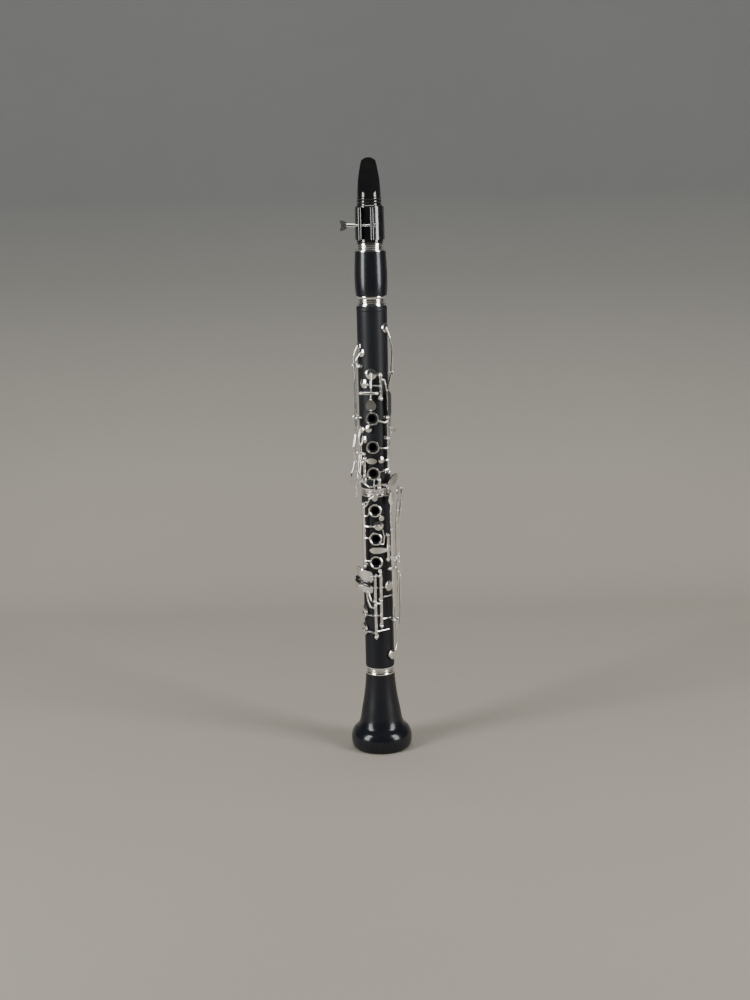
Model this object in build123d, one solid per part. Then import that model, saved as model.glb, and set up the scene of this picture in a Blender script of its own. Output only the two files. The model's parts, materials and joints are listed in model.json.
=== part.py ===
from build123d import *

import os
from math import cos, radians, sin, sqrt

# ---------------------------------------------------------------- driving dimensions (mm)
# Frame: the instrument's axis is +Z, the bell's rim stands on z = 0, the finger holes face -Y.
# Angles round the body are in degrees from the finger side (-Y) towards +X.

BELL_TOP = 84.3            # shoulder between the bell and the lower joint
JOINT_LINE = 265.4         # shoulder between the lower and the upper joint
UPPER_TOP = 439.4          # shoulder between the upper joint and the barrel
BARREL_TOP = 497.2         # shoulder between the barrel and the mouthpiece
TIP = 575.0                # tip of the mouthpiece

BORE_R = 7.3               # main bore
UPPER_R = 14.35            # outside of the upper joint
LOWER_R = 14.15            # outside of the lower joint
TENON_LENGTH = 16.0
TENON_R = 10.85
CORK_R = 11.0
SOCKET_R = 11.05
CORK_DEPTH = 0.9           # groove in the tenon that holds the cork
FIT = 0.02                 # gap between pieces that are pressed or glued together

ROD_LINE_R = 18.7          # distance of the hinge rods from the bore's axis
ROD_R = 0.85
HINGE_BORE_R = 0.91        # running fit of a key on its rod
TUBE_R = 1.45
BALL_R = 1.75
POST_R = 1.15
NECK = 0.95                # an arm's waist between two stations, as a share of its girth
END_PLAY = 0.12            # gap between a hinge tube and its post

SEAT_DEPTH = 0.9           # pad seats are sunk this far into the body
CROWN_RISE = 0.45          # how far a touch's outer face rises across its width
PAD_THICK = 1.3
PAD_LIFT = 0.05            # gap between a closed pad and its seat
CUP_WALL = 0.4

UPPER_LINE = -8.0          # angle of the finger holes on the upper joint
LOWER_LINE = -5.0          # angle of the finger holes on the lower joint
L1, L2, L3 = 334.0, 306.5, 281.0
R1, R2, R3 = 244.6, 216.6, 193.2
THUMB_Z = 341.0
CHIMNEY_R = 4.1
CHIMNEY_RISE = 1.9
RING_IN = 4.75
RING_OUT = 6.4
RING_THICK = 1.25


# ---------------------------------------------------------------- places and shapes
def polar(phi, r, z):
    """A point at angle phi round the body, r from the bore's axis, z up."""
    a = radians(phi)
    return Vector(r * sin(a), -r * cos(a), z)


def skin(phi, r, z):
    """A plane facing outwards: local x runs round the body, local y up, local z outwards."""
    a = radians(phi)
    return Plane(origin=polar(phi, r, z), x_dir=(cos(a), sin(a), 0), z_dir=(sin(a), -cos(a), 0))


def turned(points, smooth=()):
    """A solid turned about Z from (radius, z) points; numbers in smooth start a spline run."""
    sides_drawn = []
    index = 0
    while index < len(points) - 1:
        if index in smooth:
            run = points[index:index + smooth[index]]
            sides_drawn.append(Spline(*[(r, 0, z) for r, z in run]))
            index += smooth[index] - 1
        else:
            (ra, za), (rb, zb) = points[index], points[index + 1]
            sides_drawn.append(Line((ra, 0, za), (rb, 0, zb)))
            index += 1
    (ra, za), (rb, zb) = points[-1], points[0]
    sides_drawn.append(Line((ra, 0, za), (rb, 0, zb)))
    return revolve(make_face(Curve() + sides_drawn), Axis.Z, 360)


def pipe(z0, z1, outer, inner=0.0):
    """A round bar or a pipe along Z."""
    solid = Pos(0, 0, (z0 + z1) / 2) * Cylinder(outer, z1 - z0)
    if inner:
        solid -= Pos(0, 0, (z0 + z1) / 2) * Cylinder(inner, z1 - z0 + 1)
    return solid


def bar(a, b, ra, rb=None):
    """A round bar from point a to point b, tapered when rb is given."""
    run = b - a
    shape = Cylinder(ra, run.length) if rb in (None, ra) else Cone(ra, rb, run.length)
    return Plane(origin=(a + b) * 0.5, z_dir=run) * shape


def ball(spot, radius):
    """A sphere whose seam and poles lie askew, clear of the bars and bores that meet it."""
    return Pos(*spot) * Rot(17, 31, 0) * Sphere(radius)


def limb(*stations):
    """A forged arm: a round bar with rounded joints through (phi, r, z, radius) stations."""
    spots = [polar(phi, r, z) for phi, r, z, _ in stations]
    girths = [station[3] for station in stations]
    pieces = [ball(spot, girth) for spot, girth in zip(spots, girths)]
    for a, b, ra, rb in zip(spots, spots[1:], girths, girths[1:]):
        pieces.append(bar(a, b, ra * NECK, rb * NECK))
    return pieces


def drilled(phi, z, r0, r1, radius):
    """A radial drill from r0 out to r1."""
    return skin(phi, (r0 + r1) / 2, z) * Cylinder(radius, r1 - r0)


def fused(pieces):
    """Join pieces into one solid, one by one where the joint union comes out wrong."""
    pieces = list(pieces)
    whole = Part() + pieces
    largest = max(piece.volume for piece in pieces)
    if whole.is_valid and len(whole.solids()) == 1 and whole.volume > 0.98 * largest:
        return whole
    whole = pieces[0]
    for piece in pieces[1:]:
        whole = whole + piece
    return whole


# ---------------------------------------------------------------- hinges
class RodHinge:
    """A hinge tube on a rod that runs along the body."""

    def __init__(self, phi, z0, z1, r=ROD_LINE_R):
        self.phi, self.r, self.z0, self.z1 = phi, r, z0, z1
        self.axis = Axis(tuple(polar(phi, r, (z0 + z1) / 2)), (0, 0, 1))

    def tube(self):
        return [bar(polar(self.phi, self.r, self.z0), polar(self.phi, self.r, self.z1), TUBE_R)]

    def bore(self):
        return bar(polar(self.phi, self.r, self.z0 - 1), polar(self.phi, self.r, self.z1 + 1),
                   HINGE_BORE_R)


class AxleHinge:
    """A hub on a short axle that lies across the body; left and right run round the body."""

    def __init__(self, phi, r, z, left, right):
        self.phi, self.r, self.z, self.left, self.right = phi, r, z, left, right
        plane = skin(phi, r, z)
        self.axis = Axis(tuple(plane.origin), tuple(plane.x_dir))

    def along(self, u):
        plane = skin(self.phi, self.r, self.z)
        return plane.origin + plane.x_dir * u

    def tube(self):
        return [bar(self.along(self.left), self.along(self.right), TUBE_R)]

    def bore(self):
        return bar(self.along(self.left - 1), self.along(self.right + 1), HINGE_BORE_R)


# ---------------------------------------------------------------- key pieces, drawn with pads closed
def cup(phi, z, radius, body_r):
    """A pad cup: a shallow domed cap whose skirt holds the pad."""
    seat = body_r - SEAT_DEPTH + PAD_LIFT
    pad_r = radius - CUP_WALL
    skirt, roof, crown = 0.55, PAD_THICK + 0.03, 2.35
    rim = 1.55
    outline = [Line((pad_r + FIT, skirt), (radius, skirt)),
               Line((radius, skirt), (radius, rim)),
               ThreePointArc((radius, rim), (radius * 0.62, crown - 0.2), (0, crown)),
               Line((0, crown), (0, roof)),
               Line((0, roof), (pad_r + FIT, roof)),
               Line((pad_r + FIT, roof), (pad_r + FIT, skirt))]
    face = make_face(Curve() + outline)
    cap = revolve(Plane.XZ * face, Axis.Z, 360)
    return skin(phi, seat, z) * cap


def pad(phi, z, radius, body_r):
    seat = body_r - SEAT_DEPTH + PAD_LIFT
    return skin(phi, seat + PAD_THICK / 2, z) * Cylinder(radius - CUP_WALL, PAD_THICK)


def cup_top(body_r):
    """Where an arm's centre line meets a cup, just above the pad."""
    return body_r - SEAT_DEPTH + PAD_LIFT + PAD_THICK + 1.1


def finger_ring(phi, z, body_r):
    """The ring round a finger hole, level with the chimney when it is pressed."""
    middle = body_r + CHIMNEY_RISE - RING_THICK / 2 + 0.15
    half, bevel = RING_THICK / 2, 0.32
    ring = turned([(RING_IN, bevel - half), (RING_IN + bevel, -half), (RING_OUT - bevel, -half),
                   (RING_OUT, bevel - half), (RING_OUT, half - bevel), (RING_OUT - bevel, half),
                   (RING_IN + bevel, half), (RING_IN, half - bevel)])
    return skin(phi, middle, z) * ring


def ring_level(body_r):
    return body_r + CHIMNEY_RISE - 0.5


def leaf(phi, r, z, outline, thick=1.1):
    """A touch: a plate with a crowned outer face, drawn in the plane that faces outwards."""
    face = make_face(Curve() + [Spline(*outline, periodic=True)])
    extent = face.bounding_box()
    crown_r = extent.size.X ** 2 / (8 * CROWN_RISE) + CROWN_RISE
    crown = Pos(extent.center().X, 0, thick / 2 - crown_r) * Rot(90, 0, 0) * Cylinder(crown_r, 60)
    return skin(phi, r, z) * (extrude(face, thick / 2, both=True) & crown)


def oval(half_width, half_height, lean=0.0):
    """Points of an oval outline; lean shears it sideways."""
    points = []
    for step in range(8):
        a = radians(45 * step)
        v = half_height * sin(a)
        points.append((half_width * cos(a) + lean * v, v))
    return points


def key(hinge, metal, pads=(), open_by=0.0):
    """Fuse a key on its hinge, bore the hinge, and turn it from pressed or closed to its rest."""
    body = fused(hinge.tube() + list(metal)) - hinge.bore()
    felt = fused(pads) if pads else None
    if open_by:
        body = body.rotate(hinge.axis, open_by)
        felt = felt.rotate(hinge.axis, open_by) if felt else None
    return body, felt


# ---------------------------------------------------------------- mouthpiece, reed and ligature
TABLE_Y = 8.6              # flat table for the reed, on the thumb side
BEAK_FOOT = 541.0          # where the beak's slope starts
LIGATURE_Z = (500.5, 530.5)
LIGATURE_R = 13.9
SCREW_PHI = -14.0
SCREW_Z = 514.0
LUG_U = 5.9                # each screw tube's distance from the middle of the gap
LUG_AXIS_R = 14.6


def mouthpiece():
    shell = turned([(0, BARREL_TOP - TENON_LENGTH), (TENON_R, BARREL_TOP - TENON_LENGTH),
                    (TENON_R, BARREL_TOP - 13), (TENON_R - CORK_DEPTH, BARREL_TOP - 13),
                    (TENON_R - CORK_DEPTH, BARREL_TOP - 3), (TENON_R, BARREL_TOP - 3),
                    (TENON_R, BARREL_TOP + 0.02), (12.2, BARREL_TOP + 0.02), (12.5, BARREL_TOP + 1.2),
                    (12.1, 531.4), (11.5, 532.0), (11.5, 533.2), (11.1, 534.0), (11.5, 534.8),
                    (11.5, 536.0), (11.1, 536.8), (11.4, 537.6), (11.4, 538.6), (11.0, 539.4),
                    (11.0, BEAK_FOOT), (10.9, TIP), (0, TIP)])
    sides = Plane.XZ * make_face(Curve() + [
        Line((-13, BARREL_TOP - 20), (13, BARREL_TOP - 20)), Line((13, BARREL_TOP - 20), (13, 536)),
        Line((13, 536), (11.0, BEAK_FOOT)), Spline((11.0, BEAK_FOOT), (10.1, 552), (8.6, 563),
                                                   (6.6, 572.2)),
        Spline((6.6, 572.2), (0, TIP), (-6.6, 572.2)),
        Spline((-6.6, 572.2), (-8.6, 563), (-10.1, 552), (-11.0, BEAK_FOOT)),
        Line((-11.0, BEAK_FOOT), (-13, 536)), Line((-13, 536), (-13, BARREL_TOP - 20))])
    slope = Plane.YZ * make_face(Polyline((-30, BEAK_FOOT - 3), (-11.4, BEAK_FOOT - 1), (-6.2, 550),
                                          (7.2, TIP + 0.2), (7.2, TIP + 9), (-30, TIP + 9), close=True))
    beak = extrude(slope, 30, both=True)
    flat = Pos(0, TABLE_Y + 10, TIP - 38) * Box(40, 20, 80)
    chamber = turned([(0, BARREL_TOP - 20), (BORE_R, BARREL_TOP - 20), (BORE_R, 515), (6.2, 536),
                      (0, 542)])
    throat = Plane.YZ * make_face(Polyline((-2.5, 530), (1.8, 548), (TABLE_Y + 2, 571.5),
                                           (TABLE_Y + 2, 534), close=True))
    window = extrude(throat, 5.2, both=True)
    return (shell & extrude(sides, 30, both=True)) - beak - flat - chamber - window


def reed():
    profile = Plane.YZ * make_face(Polyline((TABLE_Y + 0.03, 505), (TABLE_Y + 3.0, 505),
                                            (TABLE_Y + 3.1, 537), (TABLE_Y + 1.2, 556),
                                            (TABLE_Y + 0.28, 574), (TABLE_Y + 0.03, 574), close=True))
    plank = extrude(profile, 6.4, both=True)
    plan = Plane.XZ * make_face(Curve() + [Line((-5.6, 500), (5.6, 500)), Line((5.6, 500), (6.3, 570)),
                                           ThreePointArc((6.3, 570), (0, 574.2), (-6.3, 570)),
                                           Line((-6.3, 570), (-5.6, 500))])
    crown = Pos(0, 0, 540) * Cylinder(12.35, 80)
    return plank & extrude(plan, 30, both=True) & crown


def screw_point(u, r=LUG_AXIS_R):
    plane = skin(SCREW_PHI, r, SCREW_Z)
    return plane.origin + plane.x_dir * u


def ligature_band():
    low, high = LIGATURE_Z
    band = turned([(12.6, low), (LIGATURE_R, low), (LIGATURE_R - 0.35, high), (12.45, high)])
    gap = skin(SCREW_PHI, 14, (low + high) / 2) * Box(2 * LUG_U - 1.2, 60, 12)
    band -= gap
    lugs = []
    for side in (-1, 1):
        foot = screw_point(side * LUG_U)
        lug = Pos(foot.X, foot.Y, (low + high) / 2) * Cylinder(1.95, high - low - 0.6)
        lugs.append(lug)
    band = fused([band] + lugs)
    band -= Pos(0, 0, (low + high) / 2) * Cylinder(12.55, 60)
    return band - bar(screw_point(-20), screw_point(20), 1.12)


def ligature_screw():
    shaft = bar(screw_point(-17), screw_point(LUG_U + 2.6), 1.05)
    head = bar(screw_point(-18.2), screw_point(-9.5), 1.9, 1.45)
    nut = bar(screw_point(LUG_U + 2.2), screw_point(LUG_U + 3.6), 1.6)
    wing_at = screw_point(-20)
    plane = Plane(origin=wing_at, x_dir=skin(SCREW_PHI, 1, 0).x_dir, z_dir=skin(SCREW_PHI, 1, 0).z_dir)
    wing = plane * extrude(make_face(Spline((3.5, 0), (1.5, 3.1), (-4.6, 4.3), (-3.4, 0), (-4.6, -4.3),
                                            (1.5, -3.1), periodic=True)), 0.75, both=True)
    return fused([shaft, head, nut, wing])


# ---------------------------------------------------------------- tenons, barrel and joints
def tenon(z_shoulder, direction):
    """Outline stations of a tenon, from its end to the shoulder; direction +1 points up."""
    end = z_shoulder + direction * TENON_LENGTH
    a, b = end - direction * 3, z_shoulder + direction * 3
    return [(TENON_R, end), (TENON_R, a), (TENON_R - CORK_DEPTH, a), (TENON_R - CORK_DEPTH, b),
            (TENON_R, b), (TENON_R, z_shoulder)]


def cork(z_shoulder, direction):
    a = z_shoulder + direction * (TENON_LENGTH - 3.05)
    b = z_shoulder + direction * 3.05
    return pipe(min(a, b), max(a, b), CORK_R, TENON_R - CORK_DEPTH + FIT)


def tenon_corks():
    return [cork(BARREL_TOP, -1), cork(UPPER_TOP, 1), cork(JOINT_LINE, -1), cork(BELL_TOP, -1)]


SOCKET_DEPTH = TENON_LENGTH + 0.3
RING_TOP_Z = 489.8
RING_LOW_Z = 448.6


def barrel():
    outline = [(BORE_R, UPPER_TOP + SOCKET_DEPTH), (SOCKET_R, UPPER_TOP + SOCKET_DEPTH),
               (SOCKET_R, UPPER_TOP + 0.02), (11.6, UPPER_TOP + 0.02), (11.6, RING_LOW_Z),
               (14.6, RING_LOW_Z), (15.2, 455), (15.45, 463), (15.2, 475), (14.75, 484),
               (14.5, RING_TOP_Z), (11.6, RING_TOP_Z), (11.6, BARREL_TOP), (SOCKET_R, BARREL_TOP),
               (SOCKET_R, BARREL_TOP - SOCKET_DEPTH), (BORE_R, BARREL_TOP - SOCKET_DEPTH)]
    return turned(outline, {5: 6})


def banded_ring(z0, z1, radius, inner, flange_low=0.0, flange_high=0.0):
    """A plated ring with three turned grooves and an optional flange at either end."""
    groove = 0.35
    high = z1 - z0
    outline = [(inner, z0), (radius + flange_low, z0), (radius + flange_low, z0 + 0.9)]
    for part_of in (0.3, 0.5, 0.7):
        z = z0 + part_of * high
        outline += [(radius, z - 0.45), (radius - groove, z), (radius, z + 0.45)]
    outline += [(radius + flange_high, z1 - 0.9), (radius + flange_high, z1), (inner, z1)]
    return turned(outline)


def barrel_rings():
    top = banded_ring(RING_TOP_Z + FIT, BARREL_TOP, 13.0, 11.6 + FIT, flange_low=1.3)
    low = banded_ring(UPPER_TOP + 0.05, RING_LOW_Z - FIT, 12.9, 11.6 + FIT, 0.5, 0.9)
    return [top, low]


UPPER_HOLES = []           # (phi, z, hole radius, seat radius or 0)
LOWER_HOLES = []


def finger_hole(z, line, body_r, holes):
    holes.append((line, z, 3.4, 0))
    return drilled(line, z, body_r - 3, body_r + CHIMNEY_RISE, CHIMNEY_R)


def joint_body(blank, chimneys, holes, body_r, z_low, z_high):
    """Fuse the chimneys, drill the tone holes with their pad seats, and bore the joint."""
    body = fused([blank] + chimneys)
    cutters = []
    for phi, z, hole_r, seat_r in holes:
        cutters.append(drilled(phi, z, 2, body_r + 6, hole_r))
        if seat_r:
            cutters.append(drilled(phi, z, body_r - SEAT_DEPTH, body_r + 6, seat_r))
    body -= cutters
    return body - pipe(z_low - 1, z_high + 1, BORE_R)


def upper_joint():
    low, high = JOINT_LINE - TENON_LENGTH, UPPER_TOP + TENON_LENGTH
    blank = turned([(3, low)] + tenon(JOINT_LINE, -1) + [(UPPER_R, JOINT_LINE), (UPPER_R, 434.6),
                   (UPPER_R + 0.25, 435.4), (UPPER_R + 0.1, 437.2), (UPPER_R - 0.9, UPPER_TOP)]
                   + tenon(UPPER_TOP, 1)[::-1] + [(3, high)])
    holes = list(UPPER_HOLES)
    chimneys = [finger_hole(z, UPPER_LINE, UPPER_R, holes) for z in (L1, L2, L3)]
    chimneys.append(finger_hole(THUMB_Z, 180, UPPER_R, holes))
    return joint_body(blank, chimneys, holes, UPPER_R, low, high)


MIDDLE_RING_Z = 257.4
BELL_RING_Z = 77.1


def lower_joint():
    low, high = BELL_TOP - TENON_LENGTH, JOINT_LINE
    blank = turned([(3, low)] + tenon(BELL_TOP, -1) + [(LOWER_R - 0.6, BELL_TOP), (LOWER_R, BELL_TOP + 1),
                   (LOWER_R, MIDDLE_RING_Z), (11.9, MIDDLE_RING_Z), (11.9, high), (3, high)])
    holes = list(LOWER_HOLES)
    chimneys = [finger_hole(z, LOWER_LINE, LOWER_R, holes) for z in (R1, R2, R3)]
    body = joint_body(blank, chimneys, holes, LOWER_R, low, high)
    return body - pipe(JOINT_LINE - SOCKET_DEPTH, JOINT_LINE + 1, SOCKET_R)


def middle_ring():
    return banded_ring(MIDDLE_RING_Z + FIT, JOINT_LINE - 0.04, 14.2, 11.9 + FIT, 0.1, 0.1)


# ---------------------------------------------------------------- bell
PEG_BORE_R = 9.5
PEG_BORE_Z = (50.0, 64.0)


def bell():
    outside = [(14.1, BELL_RING_Z), (14.9, 67), (16.0, 57), (17.6, 47), (19.2, 38), (21.1, 28),
               (23.6, 22.6), (27.0, 19.2), (29.4, 14.8), (30.15, 8.8), (29.6, 3.6), (28.2, 0.7),
               (27.4, 0.0)]
    inside = [(24.6, 0.0), (23.4, 1.6), (20.2, 12), (15.6, 27), (11.6, 40), (PEG_BORE_R, PEG_BORE_Z[0])]
    throat = [(PEG_BORE_R, PEG_BORE_Z[1]), (8.2, PEG_BORE_Z[1] + 1.5), (8.2, BELL_TOP - SOCKET_DEPTH),
              (SOCKET_R, BELL_TOP - SOCKET_DEPTH), (SOCKET_R, BELL_TOP - 0.04), (11.7, BELL_TOP - 0.04),
              (11.7, BELL_RING_Z)]
    outline = outside + inside + throat
    return turned(outline, {0: len(outside), len(outside): len(inside)})


def bell_ring():
    return banded_ring(BELL_RING_Z + FIT, BELL_TOP - 0.06, 13.7, 11.7 + FIT, 0.5, 0.15)


# ---------------------------------------------------------------- keys of the upper joint
POSTS = {"upper": [], "lower": []}
RODS = []


def pad_hole(phi, z, radius, holes):
    """Cut a tone hole under a cup: the seat clears the cup's skirt."""
    holes.append((phi, z, radius * 0.55, radius + 0.35))


def post(phi, r, z, side):
    """A turned post: a ball on a waisted stem with a round foot."""
    body_r = UPPER_R if side == "upper" else LOWER_R
    foot = skin(phi, body_r + 0.2, z) * Cylinder(POST_R + 0.75, 1.0)
    stem = bar(polar(phi, body_r - 1, z), polar(phi, r, z), POST_R + 0.1, POST_R - 0.2)
    POSTS[side].append([foot, stem, ball(polar(phi, r, z), BALL_R)])


def rod_between(hinge, side, low="post", high="post"):
    """Posts at the ends of a hinge and the rod through them.

    Two rods in line share one post: one of them makes it ("half") and the other only
    reaches it ("share"), and both stop at its middle.
    """
    reach = BALL_R + END_PLAY
    if low != "share":
        post(hinge.phi, hinge.r, hinge.z0 - reach, side)
    if high != "share":
        post(hinge.phi, hinge.r, hinge.z1 + reach, side)
    below = BALL_R if low == "post" else -0.1
    above = BALL_R if high == "post" else -0.1
    RODS.append((polar(hinge.phi, hinge.r, hinge.z0 - reach - below),
                 polar(hinge.phi, hinge.r, hinge.z1 + reach + above)))


def axle_between(plane_phi, r, z, left, right, side):
    """Two posts side by side and the short axle between them."""
    body_r = UPPER_R if side == "upper" else LOWER_R
    reach = BALL_R + END_PLAY
    hinge = AxleHinge(plane_phi, r, z, left, right)
    for u in (left - reach, right + reach):
        spot = hinge.along(u)
        out = sqrt(spot.X ** 2 + spot.Y ** 2)
        inner = Vector(spot.X, spot.Y, 0) * ((body_r - 1) / out) + Vector(0, 0, spot.Z)
        stem = bar(inner, spot, POST_R + 0.17, POST_R - 0.13)
        POSTS[side].append([stem, ball(spot, BALL_R)])
    RODS.append((hinge.along(left - reach - BALL_R), hinge.along(right + reach + BALL_R)))


def register_key():
    phi, z, radius = 56, 419.0, 4.9
    pad_hole(phi, z, radius, UPPER_HOLES)
    hinge = AxleHinge(112, 18.6, 374.0, -1.3, 1.3)
    axle_between(112, 18.6, 374.0, -1.3, 1.3, "upper")
    top = cup_top(UPPER_R)
    metal = [cup(phi, z, radius, UPPER_R)]
    metal += limb((phi, top, z, 0.9), (66, 18.0, 409, 1.1), (84, 18.9, 399, 1.1), (104, 18.9, 388, 1.1),
                  (112, 18.6, 374, 1.3), (128, 18.9, 363, 1.2), (146, 19.4, 357, 1.3))
    metal.append(leaf(152, 19.4, 354.5, oval(4.2, 6.0, 0.2)))
    return key(hinge, metal, [pad(phi, z, radius, UPPER_R)])


def a_key():
    phi, z, radius = -7.6, 376.4, 5.3
    pad_hole(phi, z, radius, UPPER_HOLES)
    hinge = AxleHinge(-8, 19.6, 358.6, -7.6, 3.5)
    axle_between(-8, 19.6, 358.6, -7.6, 3.5, "upper")
    top = cup_top(UPPER_R)
    metal = [cup(phi, z, radius, UPPER_R)]
    metal += limb((phi, top, z, 1.0), (phi, 19.7, 370, 1.0), (phi, 20.0, 364, 1.0), (-8, 19.6, 358.6, 1.2),
                  (-8, 20.0, 353, 1.0))
    outline = [(0.9, 5.4), (3.6, 1.8), (5.0, -1.6), (3.6, -5.0), (0, -6.3), (-3.6, -5.0), (-5.0, -1.6),
               (-3.6, 1.8), (-0.9, 5.4)]
    metal.append(leaf(-8.6, 19.7, 348.3, outline))
    metal += limb((-8.6, 18.9, 342.6, 0.8), (-8.6, 20.6, 342.6, 0.8))
    return key(hinge, metal, [pad(phi, z, radius, UPPER_R)])


def g_sharp_key():
    phi, z, radius = -37, 366.8, 4.2
    pad_hole(phi, z, radius, UPPER_HOLES)
    hinge = RodHinge(22, 355.2, 373.6, 18.6)
    rod_between(hinge, "upper")
    top = cup_top(UPPER_R)
    metal = [cup(phi, z, radius, UPPER_R)]
    metal += limb((phi, top, z, 0.9), (-22, 16.9, 366.4, 0.8), (-6, 16.7, 365.8, 0.8),
                  (8, 17.0, 365.4, 0.85),
                  (22, 18.4, 365, 1.1))
    metal += limb((22, 18.6, 371.6, 1.1), (31, 19.2, 370.8, 0.95), (36, 19.4, 366, 0.9),
                  (40, 19.4, 360.5, 1.0))
    outline = [(-2.4, 11.5), (1.6, 8.2), (3.2, 2.0), (2.9, -6.0), (1.2, -12.0), (-1.0, -12.2), (-2.7, -6.5),
               (-2.9, 0.0), (-3.2, 6.0)]
    metal.append(leaf(50, 19.2, 348.8, outline, 1.2))
    return key(hinge, metal, [pad(phi, z, radius, UPPER_R)])


SIDE_AXLES = {
    # name: (angle of the middle, r, z) of an axle that two side keys share
    "trills": (-69.0, 19.0, 334.0),
    "sides": (-51.0, 17.4, 300.0),
}
SIDE_HUB = (0.12, 2.5)     # a hub's two ends, from the middle of its axle
SIDE_KEYS = {
    # name: (axle, side of the axle's middle, cup angle, cup z, cup radius,
    #        stations of the lever from its cup end to its touch (angle, r, z), touch r, touch half height)
    "side_key_1": ("trills", -1, -66, 402.0, 3.9,
                   ((-72.5, 18.9, 393), (-72.8, 19.0, 334), (-72.6, 19.1, 318), (-72.4, 21.5, 306),
                    (-72.4, 21.4, 298), (-72.8, 20.2, 292), (-74.5, 22.6, 282)), 24.4, 276.0, 5.0),
    "side_key_2": ("trills", 1, -46, 396.0, 3.9,
                   ((-60, 18.6, 389), (-65.2, 19.0, 372), (-65.2, 19.0, 334), (-65.2, 19.1, 318),
                    (-65.4, 21.5, 306), (-65.4, 21.4, 298), (-65.6, 20.0, 290),
                    (-66.4, 20.2, 274)), 21.0, 262.0, 6.6),
    "side_key_3": ("sides", -1, -57.5, 322.4, 3.7,
                   ((-55.4, 18.6, 316), (-55.3, 17.5, 300), (-56.4, 18.9, 288), (-57.2, 19.8, 280)),
                   20.8, 273.4, 5.2),
    "side_key_4": ("sides", 1, -43, 313.2, 3.6,
                   ((-46, 18.4, 308), (-46.7, 17.5, 300), (-47.0, 18.9, 290), (-47.2, 19.8, 283)),
                   20.8, 276.2, 5.2),
}


def side_key(name):
    """A long rocking lever: pressing the touch at its lower end lifts the cup at its top."""
    axle, half, cup_phi, cup_z, radius, stations, touch_r, touch_z, touch_h = SIDE_KEYS[name]
    pad_hole(cup_phi, cup_z, radius, UPPER_HOLES)
    ends = sorted((half * SIDE_HUB[0], half * SIDE_HUB[1]))
    hinge = AxleHinge(*SIDE_AXLES[axle], *ends)
    metal = [cup(cup_phi, cup_z, radius, UPPER_R)]
    metal += limb((cup_phi, cup_top(UPPER_R), cup_z, 0.85), *[(*station, 0.85) for station in stations],
                  (stations[-1][0], touch_r - 0.2, touch_z + touch_h - 2, 0.9))
    metal.append(leaf(stations[-1][0], touch_r, touch_z, oval(1.45, touch_h), 1.3))
    return key(hinge, metal, [pad(cup_phi, cup_z, radius, UPPER_R)])


def side_axles():
    """The two shared axles, and the guide posts that keep the trill levers in line."""
    for phi, r, z in SIDE_AXLES.values():
        axle_between(phi, r, z, -SIDE_HUB[1], SIDE_HUB[1], "upper")
    for phi in (-84.0, -49.5):
        post(phi, 18.6, 383.5, "upper")


L_ROD = 43.0               # hinge line of the upper ring keys
L1_HINGE = (316.3, 332.4)
L23_HINGE = (284.0, 312.5)


def l1_ring_key():
    vent_phi, vent_z, vent_r = -23, 324.2, 3.4
    pad_hole(vent_phi, vent_z, vent_r, UPPER_HOLES)
    hinge = RodHinge(L_ROD, *L1_HINGE)
    rod_between(hinge, "upper", low="half")
    level = ring_level(UPPER_R)
    metal = [finger_ring(UPPER_LINE, L1, UPPER_R), cup(vent_phi, vent_z, vent_r, UPPER_R)]
    metal += limb((L_ROD, ROD_LINE_R, 330.8, 1.1), (28, 18.6, 330.2, 0.9), (12.0, level + 0.6, 331.6, 0.8))
    metal += limb((-18.5, level - 0.05, 328.7, 0.58), (vent_phi, cup_top(UPPER_R), 325.0, 0.85))
    metal += limb((L_ROD, ROD_LINE_R, 320, 1.1), (56, 19.6, 320, 0.9), (72, 20.5, 320, 0.9),
                  (82, 20.7, 320, 0.9))
    return key(hinge, metal, [pad(vent_phi, vent_z, vent_r, UPPER_R)], open_by=4.2)


def l23_ring_key():
    vent_phi, vent_z, vent_r = 23, 293.6, 3.3
    pad_hole(vent_phi, vent_z, vent_r, UPPER_HOLES)
    hinge = RodHinge(L_ROD, *L23_HINGE)
    rod_between(hinge, "upper", high="share")
    level = ring_level(UPPER_R)
    metal = [finger_ring(UPPER_LINE, z, UPPER_R) for z in (L2, L3)]
    metal.append(cup(vent_phi, vent_z, vent_r, UPPER_R))
    metal += limb((L_ROD, ROD_LINE_R, 305.4, 1.1), (28, 18.4, 305.4, 0.9), (14.5, level + 0.5, 305.8, 0.8))
    metal += limb((L_ROD, ROD_LINE_R, 285.4, 1.1), (28, 18.4, 284.2, 0.9), (14.5, level + 0.5, 282.6, 0.8))
    metal += limb((L_ROD, ROD_LINE_R, 294, 1.1), (33, 18.2, 293.8, 0.9),
                  (vent_phi, cup_top(UPPER_R), vent_z, 0.9))
    metal += limb((UPPER_LINE + 0.5, level - 0.15, 275.2, 0.6), (UPPER_LINE + 1, 16.0, 270, 0.66),
                  (-4, 15.9, 263.6, 0.64))
    metal.append(skin(-3.6, 15.9, 261) * Box(2.9, 8.2, 1.0))
    return key(hinge, metal, [pad(vent_phi, vent_z, vent_r, UPPER_R)], open_by=4.2)


def thumb_ring_key():
    hinge = RodHinge(128, 318.2, 343.5)
    rod_between(hinge, "upper")
    level = ring_level(UPPER_R)
    metal = [finger_ring(180, THUMB_Z, UPPER_R)]
    metal += limb((128, ROD_LINE_R, 340, 1.1), (143, 18.6, 340.4, 0.9), (157.5, level + 0.4, 341, 0.8))
    metal += limb((128, ROD_LINE_R, 320, 1.1), (112, 18.9, 320, 0.9), (96, 18.6, 320, 0.9),
                  (84, 18.4, 320, 0.85))
    return key(hinge, metal, (), open_by=-4.2)


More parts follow.
